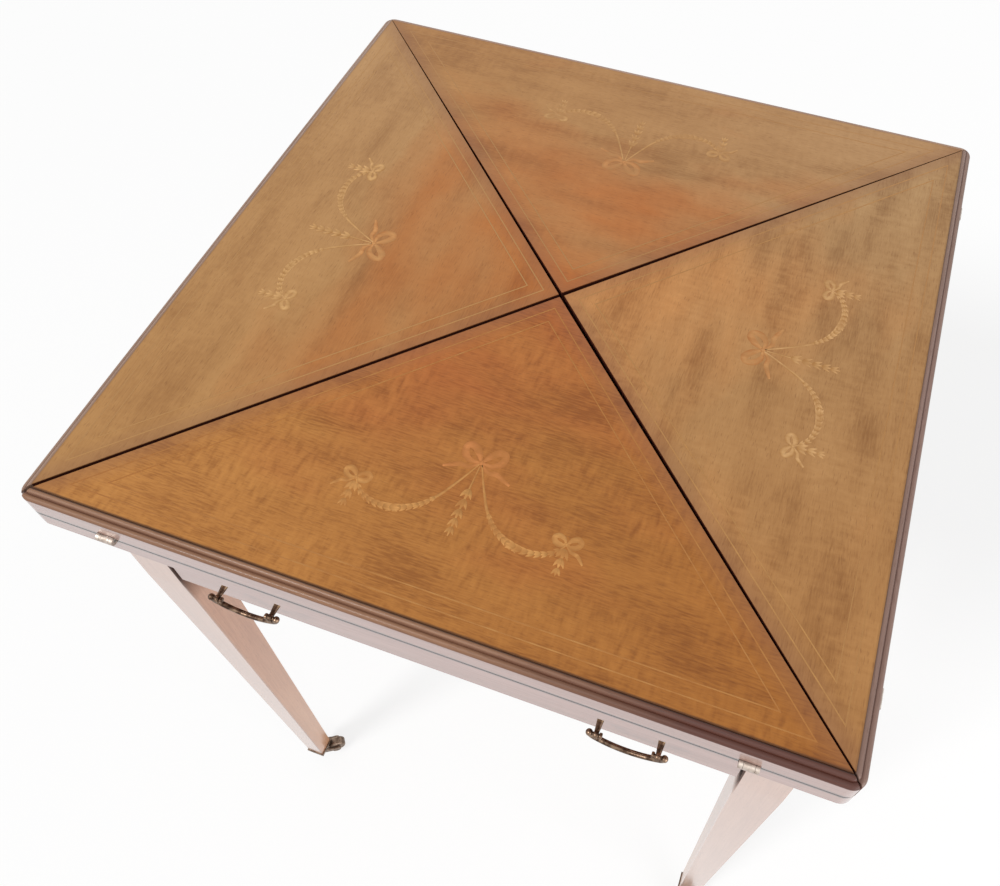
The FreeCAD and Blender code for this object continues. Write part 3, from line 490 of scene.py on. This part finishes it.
def faded_veneer(name, axis, seed, edge_dirt_and_shade, figure, middle, low_end, high_end):
    """Faded mahogany veneer: fine fibres and short pores along the grain, patches of soft
    mottle across it, a tone that pales towards the outer edge, and grime along the mitres."""
    material, tree, point = new_finish(name)
    place = add(tree, "SeparateXYZ", (point,)).outputs
    across = [add(tree, "Math", (place[i],), operation="ABSOLUTE") for i in (X, Y)]
    reach = add(tree, "Math", across, operation="MAXIMUM")

    # The tone that light has left, with cloudy limits
    clouds = streaks(tree, point, axis, length=170, width=80, detail=3.0, seed=seed + 8)
    drift = add(tree, "MapRange", (clouds, 0.3, 0.7, -FADE_DRIFT, FADE_DRIFT))
    drifted = add(tree, "Math", (reach, drift), operation="ADD")
    faded = add(tree, "MapRange", (drifted, FADE_STARTS, FADE_ENDS))
    along = add(tree, "MapRange", (place[axis], -END_TONE_REACH, END_TONE_REACH))
    edge = add(tree, "Mix", (along, linear(low_end), linear(high_end)), data_type="RGBA")
    base = add(tree, "Mix", (faded, linear(middle), edge), data_type="RGBA")

    # The figure of the wood, which tints that tone
    fibre_share, most_mottle, contrast = figure
    fibres = streaks(tree, point, axis, length=11, width=1.2, detail=3.0, seed=seed)
    bands = streaks(tree, point, axis, length=130, width=24, seed=seed + 3)
    grain = add(tree, "Mix", (fibre_share, bands, fibres))
    mottle = streaks(tree, point, 1 - axis, length=15, width=5, seed=seed + 6)
    blotch = streaks(tree, point, axis, length=60, width=45, seed=seed + 17)
    patches = add(tree, "MapRange", (blotch, 0.42, 0.62, 0.1, most_mottle))
    figured = add(tree, "Mix", (patches, grain, mottle))
    tone = add(tree, "Mix", (0.2, figured, blotch))
    tint = add(tree, "ValToRGB", (tone,), (
        (0.5 - contrast, "#ccbda9"), (0.5, "#efeae3"), (0.5 + contrast, "#ffffff")))
    grained = add(tree, "Mix", (1.0, base, tint), data_type="RGBA", blend_type="MULTIPLY")

    # Grime by the mitres, old polish and painted shade at the rim, and the pores
    off_mitre = add(tree, "Math", across, operation="SUBTRACT")
    from_mitre = add(tree, "Math", (off_mitre,), operation="ABSOLUTE")
    grime = add(tree, "MapRange", (from_mitre, 0.0, GRIME_REACH, GRIME_SHARE, 0.0))
    dulled = add(tree, "Mix", (grime, grained, linear("#84583f")), data_type="RGBA")
    # Old polish and painted shade darken the step at the rim
    dirt_and_shade = add(tree, "MapRange", (
        reach, field_edge - EDGE_DIRT_AND_SHADE_STARTS, field_edge - EDGE_DIRT_AND_SHADE_WHOLE, 0.0, edge_dirt_and_shade))
    edged = add(tree, "Mix", (dirt_and_shade, dulled, linear("#3b2112")), data_type="RGBA")
    specks = streaks(tree, point, axis, length=6, width=0.7, detail=1.0, seed=seed + 11)
    pores = add(tree, "MapRange", (specks, 0.62, 0.74))
    filled = add(tree, "MapRange", (pores, 0.0, 1.0, 0.0, 0.35))
    face = add(tree, "Mix", (filled, edged, linear("#70421c")), data_type="RGBA")

    # The panel's edges below the veneer, and its underside
    glue_line = top_level - VENEER_THICKNESS
    under_edge = under_level + UNDER_REACH
    on_top = add(tree, "MapRange", (place[Z], glue_line - TONE_END, glue_line))
    off_under = add(tree, "MapRange", (place[Z], under_edge, under_edge + TONE_END))
    dark, _, pale = MAHOGANY_TONES
    under = add(tree, "ValToRGB", (bands,), ((0.36, dark), (0.64, pale)))
    body = add(tree, "Mix", (off_under, under, linear("#51281f")), data_type="RGBA")
    colour = add(tree, "Mix", (on_top, body, face), data_type="RGBA")
    dents = add(tree, "Bump", {"Strength": 0.2, "Distance": 0.00004, "Height": pores}, invert=True)
    shader = add(tree, "BsdfPrincipled", {
        "Base Color": colour, "Roughness": VENEER_ROUGHNESS, "IOR": 1.5,
        "Specular IOR Level": VENEER_SHINE, "Normal": dents})
    add(tree, "OutputMaterial", {"Surface": shader})
    return material


for number, side in enumerate(SIDES):
    run = X if side in ("front", "back") else Y
    veneer = faded_veneer(f"faded_veneer_{side}", run, 13.0 * number, EDGE_DIRT_AND_SHADE[side], FIGURE[side],
                          *LEAF_TONES[side])
    dress(veneer, f"leaf_panel_{side}")


# Rims: a strip of mahogany worked with two reeds and a quirk, glued along each leaf's outer
# edge and mitred at the corners. The reeds are stained and rubbed dull by hands, and painted
# sheen in their tone changes from rim to rim and along the front; old polish and painted shade
# darken the quirk, the groove and the line under the reeds; the upright face below them is like
# the tray's lipping.
top_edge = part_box("leaf_rim_right")[1].x
REED_DEPTH = 0.0056
# Where the reeds' own tone starts, below their depth, and where it is whole, above it
REED_STARTS, REED_WHOLE = 0.0005, 0.0003
REED_POLISH, REED_ROUGHNESS = 0.1, 0.55
# The tones of each rim's reeds at its low and high ends, and from where to where they change.
# Besides stain they hold painted sheen: the pale, grey right, back and left rims, and the
# front's change from a pale left end to a dark right one, stand for light reflected in the reeds
RIM_TONES_AND_SHEEN = {"front": ("#8d6548", "#4f2414"), "right": ("#8b7067", "#8f766c"),
             "back": ("#b19180", "#ad8b74"), "left": ("#a08270", "#a68b7b")}
RIM_TONE_AND_SHEEN_CHANGE = (0.03, 0.18)
# How dark polish and painted shade thin out: from the quirk's inner edge, from the groove between
# the reeds and from the line under them, with their share in the last two
QUIRK_WHOLE, QUIRK_ENDS = 0.0007, 0.0013
GROOVE_WHOLE, GROOVE_ENDS, GROOVE_SHARE = 0.0003, 0.0011, 0.55
LINE_WHOLE, LINE_ENDS, LINE_SHARE = 0.0004, 0.0016, 0.45


def reeded_wood(name, low_end, high_end, quirk_dirt_and_shade):
    """Dull mahogany: the reeds are their own tone, partly painted sheen, with the grain as a tint
    on it, and dark polish and painted shade lie in the quirk, between the reeds and under them.
    The upright face is plain."""
    material, tree, point = new_finish(name)
    point = along_sides(tree, point)
    plain, pores = wood_grain(tree, point, X, GREYED_TONES, MAHOGANY_PORE, seed=21.0)
    tint, _ = wood_grain(tree, point, X, ("#dcd2c8", "#efe9e2", "#ffffff"), "#b09a8a", seed=21.0)
    place = add(tree, "SeparateXYZ", (point,)).outputs
    # Painted sheen: the reeds' tone changes along the rim, and from rim to rim
    along = add(tree, "MapRange", (place[X], *RIM_TONE_AND_SHEEN_CHANGE))
    colouring = add(tree, "Mix", (along, linear(low_end), linear(high_end)), data_type="RGBA")
    stained_and_sheened = add(tree, "Mix", (1.0, colouring, tint), data_type="RGBA", blend_type="MULTIPLY")

    nose = top_level - REED_DEPTH
    out = add(tree, "Math", (place[Y],), operation="ABSOLUTE")
    # Dark polish and painted shade in the groove between the reeds and in the line under them
    off_groove = add(tree, "Math", (out, (field_edge + top_edge) / 2), operation="SUBTRACT")
    from_groove = add(tree, "Math", (off_groove,), operation="ABSOLUTE")
    groove = add(tree, "MapRange", (from_groove, GROOVE_WHOLE, GROOVE_ENDS, GROOVE_SHARE, 0.0))
    lower = add(tree, "MapRange", (place[Z], nose + LINE_WHOLE, nose + LINE_ENDS, LINE_SHARE, 0.0))
    lines = add(tree, "Math", (groove, lower), operation="MAXIMUM")
    lined = add(tree, "Mix", (lines, stained_and_sheened, linear("#4a2418")), data_type="RGBA")
    reeds = add(tree, "MapRange", (place[Z], nose - REED_STARTS, nose + REED_WHOLE))
    faced = add(tree, "Mix", (reeds, plain, lined), data_type="RGBA")
    # Old polish and painted shade in the quirk
    quirk = add(tree, "MapRange", (
        out, field_edge + QUIRK_WHOLE, field_edge + QUIRK_ENDS, quirk_dirt_and_shade, 0.0))
    colour = add(tree, "Mix", (quirk, faced, linear("#2e180d")), data_type="RGBA")
    shellac(tree, dirt_and_shade_in_joint(tree, point, colour, top_edge), pores,
            cover=add(tree, "MapRange", (reeds, 0.0, 1.0, 1.0, REED_POLISH)),
            roughness=add(tree, "MapRange", (reeds, 0.0, 1.0, POLISHED, REED_ROUGHNESS)))
    return material


for side, tones in RIM_TONES_AND_SHEEN.items():
    dress(reeded_wood(f"reeded_rim_{side}", *tones, EDGE_DIRT_AND_SHADE[side]), f"leaf_rim_{side}")


# Stringing: two lines of boxwood, about a millimetre wide, let into the veneer along all three
# sides of each leaf, scraped flush and polished with it. The lines have worn faint in places.
# Sizes on the face of a leaf are in millimetres here and for the swags.
STRING_OFFSETS = (10.0, 19.5)
STRING_WIDTH, STRING_STEPS = 0.8, 24
STRING_TONE = "#c39053"
INLAY_DEPTH, INLAY_STAND = 0.0005, 0.00004
# The tone of each leaf's veneer round its inlay
GROUNDS = {"front": "#a66a30", "right": "#a67745", "back": "#a87a49", "left": "#ae814e"}
# For each leaf, how far its lines have worn to that tone at places along each run: along its
# outer edge from low to high, along the mitre back to the middle, and out along the other
STRING_WEAR = {"front": ((0.85, 0.25, 0.45), (0.55, 0.7), (0.45, 0.5, 0.85)),
               "right": ((0.7, 0.75), (0.45, 0.7), (0.5, 0.3)),
               "back": ((0.8, 0.8), (0.7, 0.8), (0.8, 0.8)),
               "left": ((0.8, 0.8), (0.65, 0.55), (0.8, 0.8))}
# The least and the most that patches of the lines have worn besides
STRING_PATCHES = (0.0, 0.7)


def inlay_wood(name, light, shaded, ground, worn):
    """Close-grained inlay wood, polished with the top: faint streaks, the shaded tone where the
    piece's own "shade" attribute says so, and patches that have worn to the veneer's tone."""
    material, tree, point = new_finish(name)
    streak = streaks(tree, point, X, length=16, width=3)
    grain = add(tree, "MapRange", (streak, 0.35, 0.7, 0.0, 0.3))
    shade = add(tree, "Attribute", attribute_name="shade").outputs["Fac"]
    tone = add(tree, "Math", (grain, shade), operation="ADD")
    wood = add(tree, "ValToRGB", (tone,), ((0.0, light), (1.0, shaded)))
    rubbing = streaks(tree, point, X, length=10, width=10, detail=3.0, seed=31.0)
    patches = add(tree, "MapRange", (rubbing, 0.36, 0.64, *worn))
    shader = add(tree, "BsdfPrincipled", {
        "Base Color": add(tree, "Mix", (patches, wood, linear(ground)), data_type="RGBA"),
        "Roughness": VENEER_ROUGHNESS, "IOR": 1.5, "Specular IOR Level": VENEER_SHINE})
    add(tree, "OutputMaterial", {"Surface": shader})
    return material


def let_in(name, side, pieces, wood):
    """Lay pieces into a leaf's face. Each is a flat patch, a grid of (along, out), and its shade
    at every point, 0 for clear wood and 1 for wood that is burnt or worn dark. Each stands a
    hair over the one before, so that no two faces share a plane, and goes into the veneer."""
    raised = []
    for number, (patch, _) in enumerate(pieces):
        x, y = on_leaf(patch[..., 0] / 1000, patch[..., 1] / 1000, side)
        level = top_level + INLAY_STAND * (1 + 2 * number / len(pieces))
        raised.append(np.stack([x, y, np.full_like(x, level)], -1))
    inlay = mesh_of(name, raised, merge=False)
    shades = np.concatenate([shade.reshape(-1) for _, shade in pieces]).astype(np.float32)
    inlay.data.attributes.new("shade", "FLOAT", "POINT").data.foreach_set("value", shades)
    inlay.data.materials.append(wood)
    depth = inlay.modifiers.new("depth", "SOLIDIFY")
    depth.thickness = INLAY_DEPTH
    depth.offset = -1.0
    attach(inlay, f"leaf_{side}")


def string_line(inset):
    """Three straight strips round a leaf, one along each side and mitred where they meet: each
    goes from the triangle at its outer edge, row 0, to the one at its inner edge, row 1."""
    triangles = []
    for edge in (inset - STRING_WIDTH / 2, inset + STRING_WIDTH / 2):
        base = field_edge * 1000 - edge
        half = base - edge * math.sqrt(2)
        triangles.append([(-half, base), (half, base), (0.0, edge * math.sqrt(2)), (-half, base)])
    corners = np.array(triangles)
    share = np.linspace(0, 1, STRING_STEPS + 1)[:, None]
    return [corners[:, i, None] * (1 - share) + corners[:, i + 1, None] * share for i in range(3)]


string_strips = [strip for inset in STRING_OFFSETS for strip in string_line(inset)]
for side, ground in GROUNDS.items():
    runs = [np.interp(np.linspace(0, 1, STRING_STEPS + 1), np.linspace(0, 1, len(wear)), wear)
            for wear in STRING_WEAR[side]]
    shades = [np.tile(run, (2, 1)) for run in runs] * len(STRING_OFFSETS)
    boxwood = inlay_wood(f"boxwood_stringing_{side}", STRING_TONE, ground, ground, STRING_PATCHES)
    let_in(f"stringing_{side}", side, list(zip(string_strips, shades)), boxwood)


# Swags: the traditional ribbon-tied husk swag, in the middle of each leaf. A bow at the top, a
# garland of husks hung from it to a smaller bow at either hand, and drops of husks between.
# Cut with a fretsaw from boxwood and a pinker wood, shaded in hot sand, and let into the veneer.
END_BOW_SHARE = 0.72
# Paths of the ribbons and the husks on one hand, as (along, out)
BOW_LOOP = ((0.5, 156.5), (4.5, 150), (9.5, 145.8), (14, 147.2), (13, 153.5), (7.5, 157.6),
            (1, 157.2))
BOW_TAIL = ((0.8, 158), (7, 162.5), (13, 162.3), (18.5, 164.6), (24, 167.2))
BOW_KNOT = ((-2.4, 156.8), (0, 157), (2.4, 156.8))
GARLAND = ((1.0, 158.5), (5.5, 168), (11.5, 179.5), (17.5, 189.5), (27, 199.8), (40, 206.3),
           (54, 207.6), (65, 204.3), (71.5, 198.5), (74, 194.5))
OUTER_LOOP = ((74.4, 194), (76.8, 190.6), (80.4, 189), (83, 191), (81, 194.5), (77.4, 195.6),
              (74.6, 194.8))
INNER_LOOP = ((73.6, 194.8), (70.6, 195.8), (66.9, 195), (65, 191.9), (67.6, 189.8), (71.4, 191),
              (73.6, 194))
END_TAIL = ((74.8, 195.5), (78.5, 198.6), (82.5, 199.6), (85.5, 202.2), (88, 205))
END_KNOT = ((72.2, 194.4), (74, 194.6), (75.8, 194.4))
SIDE_DROP = ((74, 196), (74, 203), (74, 211), (74, 219))
MIDDLE_DROP = ((0, 160), (0, 178), (0, 196), (0, 214))
# Widths of the ribbons along their paths, of which an end bow's loops and tails have a share
LOOP_WIDTHS = np.array((1.4, 5.2, 5.8, 4.6, 5.2, 3.8, 1.4))
TAIL_WIDTHS = np.array((1.2, 3.4, 3.6, 3.2, 1.6))
KNOT_WIDTHS, END_KNOT_WIDTHS = (0.8, 3.0, 3.6, 3.0, 0.8), (0.6, 2.2, 2.6, 2.2, 0.6)
STEM_WIDTHS, CORD_WIDTHS = (0.8, 1.6, 2.2, 1.6, 0.9, 0.9), (0.8, 1.6, 0.9)
# Place along its path, length and width of the first and the last husks on either half of the
# garland, and of every husk on a drop; then how each set of three leans, in degrees
HUSK_SETS = 8
NEAR_HUSKS = ((0.36, 4.0, 1.6), (0.62, 7.0, 2.6))
FAR_HUSKS = ((0.05, 4.5, 1.7), (0.34, 7.0, 2.6))
SIDE_HUSKS = ((0.06, 0.36, 0.66), (8.5, 7.5, 6.0), (2.9, 2.5, 2.1))
MIDDLE_HUSKS = ((0.33, 0.48, 0.62, 0.75, 0.87), (8.5, 8.2, 7.8, 7.2, 6.4), (2.8, 2.7, 2.5, 2.3, 2.1))
GARLAND_FAN, DROP_FAN = (-25, 25, 0), (-28, 28, 0)
# Places across a piece, as shares of its width, and the shade there, at a ribbon's folds and at
# a husk's base; then what the garland and the middle drop have on top of that
ACROSS = np.array((-0.5, 0.0, 0.5))
RIBBON_SHADE, FOLD_SHADE = np.array((0.45, 0.0, 0.1)), 0.35
HUSK_SHADE, BASE_SHADE = np.array((0.25, 0.0, 0.05)), 0.75
GARLAND_BURN, MIDDLE_BURN = 0.05, 0.15
# Points along a husk, and its width at its ends as a share of the widest
HUSK_ROWS, HUSK_BLUNT = 7, 0.06
# For each leaf, its boxwood, its pinker wood, and the least and the most that patches have worn
SWAG_WOODS = {"front": ("#dd9f5b", "#d68a4f", (0.0, 0.65)),
              "right": ("#dbae78", "#cb945c", (0.0, 0.55)),
              "back": ("#d6a76e", "#ce9158", (0.2, 0.75)),
              "left": ("#e3b478", "#d69a5d", (0.0, 0.55))}
SHADED_BOXWOOD, SHADED_PINK = "#a5743c", "#a5652f"


def smooth_path(points, steps=8):
    """A smooth curve through points: between two neighbours it is the cubic whose slope at
    each of them is half the step from the point before it to the point after."""
    knots = np.array(points, float)
    padded = np.concatenate([2 * knots[:1] - knots[1:2], knots, 2 * knots[-1:] - knots[-2:-1]])
    before, start, stop, after = (padded[i:len(padded) - 3 + i, None] for i in range(4))
    t = np.linspace(0, 1, steps + 1)[:-1, None]
    curve = (2 * start + (stop - before) * t + (2 * before - 5 * start + 4 * stop - after) * t ** 2
             + (3 * start - before - 3 * stop + after) * t ** 3) / 2
    return np.concatenate([curve.reshape(-1, 2), knots[-1:]])


def slopes_of(path):
    """The unit step along a path at each of its points, and the unit step square to it."""
    step = np.gradient(path, axis=0)
    step /= np.linalg.norm(step, axis=1, keepdims=True)
    return step, np.stack([-step[:, 1], step[:, 0]], -1)


def ribbon(points, widths):
    """One flat band on a smooth path: half its width to either side, square to the path, with
    its width going evenly from each given width to the next. It is shaded along one edge and
    at its two folds, by a sine of the share of its length."""
    path = smooth_path(points)
    share = np.linspace(0, 1, len(path))
    width = np.interp(share, np.linspace(0, 1, len(widths)), widths)
    square = slopes_of(path)[1]
    band = path[:, None] + square[:, None] * (ACROSS[:, None] * width[:, None, None])
    fold = FOLD_SHADE * np.abs(np.sin(2 * math.pi * share))
    return [(band, fold[:, None] + RIBBON_SHADE)]


def husks(points, places, lengths, widths, leans):
    """Pointed blades that start on a path, at places that are shares of its length, and lean
    away from it. Half a blade's width is a sine over its length, fullest before the middle.
    They are shaded at the base."""
    path = smooth_path(points)
    run = np.concatenate([[0], np.cumsum(np.linalg.norm(np.diff(path, axis=0), axis=1))])
    place, lean = np.meshgrid(places, np.radians(leans), indexing="ij")
    length, width = (np.interp(place, places, sizes)[..., None, None] for sizes in (lengths, widths))
    start, step, square = (
        np.stack([np.interp(place * run[-1], run, values[:, i]) for i in (0, 1)], -1)
        for values in (path, *slopes_of(path)))
    turn, side_turn = np.cos(lean)[..., None], np.sin(lean)[..., None]
    ahead = step * turn + square * side_turn
    beside = square * turn - step * side_turn
    share = np.linspace(0, 1, HUSK_ROWS)[:, None]
    half = HUSK_BLUNT + (1 - HUSK_BLUNT) * np.sin(math.pi * share ** 0.75)
    blades = (start[..., None, None, :] + ahead[..., None, None, :] * (share * length)[..., None]
              + beside[..., None, None, :] * (half * ACROSS * width)[..., None])
    shade = BASE_SHADE * (1 - share) ** 1.5 + HUSK_SHADE
    return [(blade, shade) for blade in blades.reshape(-1, HUSK_ROWS, len(ACROSS), 2)]


def burnt(pieces, share):
    """Pieces with all their wood burnt darker in the sand by a share."""
    return [(patch, shade + share) for patch, shade in pieces]


def both_hands(pieces):
    """Pieces for one hand, and their mirror images for the other."""
    return pieces + [(patch[:, ::-1] * (-1, 1), shade[:, ::-1]) for patch, shade in pieces]


bow = both_hands(ribbon(BOW_TAIL, TAIL_WIDTHS) + ribbon(BOW_LOOP, LOOP_WIDTHS))
bow += ribbon(BOW_KNOT, KNOT_WIDTHS)
garland = ribbon(GARLAND, STEM_WIDTHS)
garland += husks(GARLAND, *np.linspace(*NEAR_HUSKS, HUSK_SETS).T, GARLAND_FAN)
garland += husks(GARLAND[::-1], *np.linspace(*FAR_HUSKS, HUSK_SETS).T, GARLAND_FAN)
side_drop = husks(SIDE_DROP, *SIDE_HUSKS, DROP_FAN)
end_bow = ribbon(END_TAIL, TAIL_WIDTHS * END_BOW_SHARE)
for loop in (OUTER_LOOP, INNER_LOOP):
    end_bow += ribbon(loop, LOOP_WIDTHS * END_BOW_SHARE)
end_bow += ribbon(END_KNOT, END_KNOT_WIDTHS)
middle_drop = ribbon(MIDDLE_DROP, CORD_WIDTHS) + husks(MIDDLE_DROP, *MIDDLE_HUSKS, DROP_FAN)
swag = both_hands(burnt(garland, GARLAND_BURN) + side_drop + end_bow)
swag += burnt(middle_drop, MIDDLE_BURN)
for side, (light, pink, worn) in SWAG_WOODS.items():
    husk_wood = inlay_wood(f"sand_shaded_boxwood_{side}", light, SHADED_BOXWOOD, GROUNDS[side], worn)
    ribbon_wood = inlay_wood(f"pink_ribbon_wood_{side}", pink, SHADED_PINK, GROUNDS[side], worn)
    let_in(f"swag_husks_{side}", side, swag, husk_wood)
    let_in(f"swag_ribbons_{side}", side, bow, ribbon_wood)


# Hinges: two pairs of small cast brass straps to each leaf, let into its hinge edge and the
# tray's, screwed with brass. Kept bright, since they rub when they turn.
hinge_brass = aged_brass("rubbed_hinge_brass", "#a99b90", "#cfc3b8", roughness=0.5)
dress(hinge_brass, "tray_hinge_straps", "tray_hinge_screws")
for side in SIDES:
    dress(hinge_brass, f"leaf_hinge_straps_{side}", f"leaf_hinge_screws_{side}")


# Studio: a pale floor, white to the camera and in reflections but keeping the table's shadow,
# a white surround, a soft distant lamp from the front left and a low weak one from the right.
FLOOR_HALF = 6.0
# Share of white in the floor as the camera sees it, and the surround's strength as a light
FLOOR_GLOW, SURROUND_LIGHT = 0.76, 0.52


def seen_or_mirrored(tree):
    """1 for rays that reach the eye, straight or by a mirror or glass, and 0 for light."""
    path = add(tree, "LightPath").outputs
    seen = add(tree, "Math", (path["Is Camera Ray"], path["Is Glossy Ray"]), operation="MAXIMUM")
    return add(tree, "Math", (seen, path["Is Transmission Ray"]), operation="MAXIMUM")


floor_range = (-FLOOR_HALF, FLOOR_HALF)
floor = mesh_of("floor", [flat_patch(floor_range, floor_range, 1, 1, 0.0)])
floor_paint, tree, _ = new_finish("pale_floor")
share = add(tree, "MapRange", (seen_or_mirrored(tree), 0.0, 1.0, 0.0, FLOOR_GLOW))
paint = add(tree, "BsdfDiffuse", {"Color": linear("#f6f6f6")})
glow = add(tree, "Emission", {"Color": linear("#ffffff"), "Strength": 1.0})
add(tree, "OutputMaterial", {"Surface": add(tree, "MixShader", (share, paint, glow))})
floor.data.materials.append(floor_paint)

world = bpy.data.worlds.new("studio")
world.use_nodes = True
tree = world.node_tree
tree.nodes.clear()
strength = add(tree, "MapRange", (seen_or_mirrored(tree), 0.0, 1.0, SURROUND_LIGHT, 1.0))
surround = add(tree, "Background", {"Color": linear("#ffffff"), "Strength": strength})
add(tree, "OutputWorld", {"Surface": surround})
bpy.context.scene.world = world


def hang_lamp(name, kind, place, aim, **settings):
    """A lamp at a place, turned so that it shines along the line to its aim."""
    lamp = bpy.data.objects.new(name, bpy.data.lights.new(name, kind))
    for key, value in settings.items():
        setattr(lamp.data, key, value)
    lamp.location = place
    x, y, z = np.subtract(aim, place)
    lamp.rotation_euler = (math.atan2(math.hypot(x, y), -z), 0, math.atan2(-x, y))
    bpy.context.collection.objects.link(lamp)


hang_lamp("soft_lamp", "SUN", (-2.0, -2.9, 4.2), (0, 0, 0.6), energy=1.9, angle=math.radians(15))
hang_lamp("low_lamp", "AREA", (2.4, -1.4, 0.9), (0, 0, 0.5), energy=40.0, size=2.0)


# Camera: above the near side of the table and to its right, looking down across the drawer.
# A slightly wide lens, shifted a little, gives the table its place in the picture.
camera = bpy.data.objects.new("camera", bpy.data.cameras.new("camera"))
camera.data.sensor_width = 36.0
camera.data.lens = 34.7246
camera.data.shift_x = -0.08509
camera.data.shift_y = -0.06692
camera.location = (0.165105, -0.448434, 1.286158)
camera.rotation_euler = [math.radians(angle) for angle in (35.6007, -0.8501, 19.0234)]
bpy.context.collection.objects.link(camera)
bpy.context.scene.camera = camera
bpy.context.scene.view_settings.view_transform = "Standard"
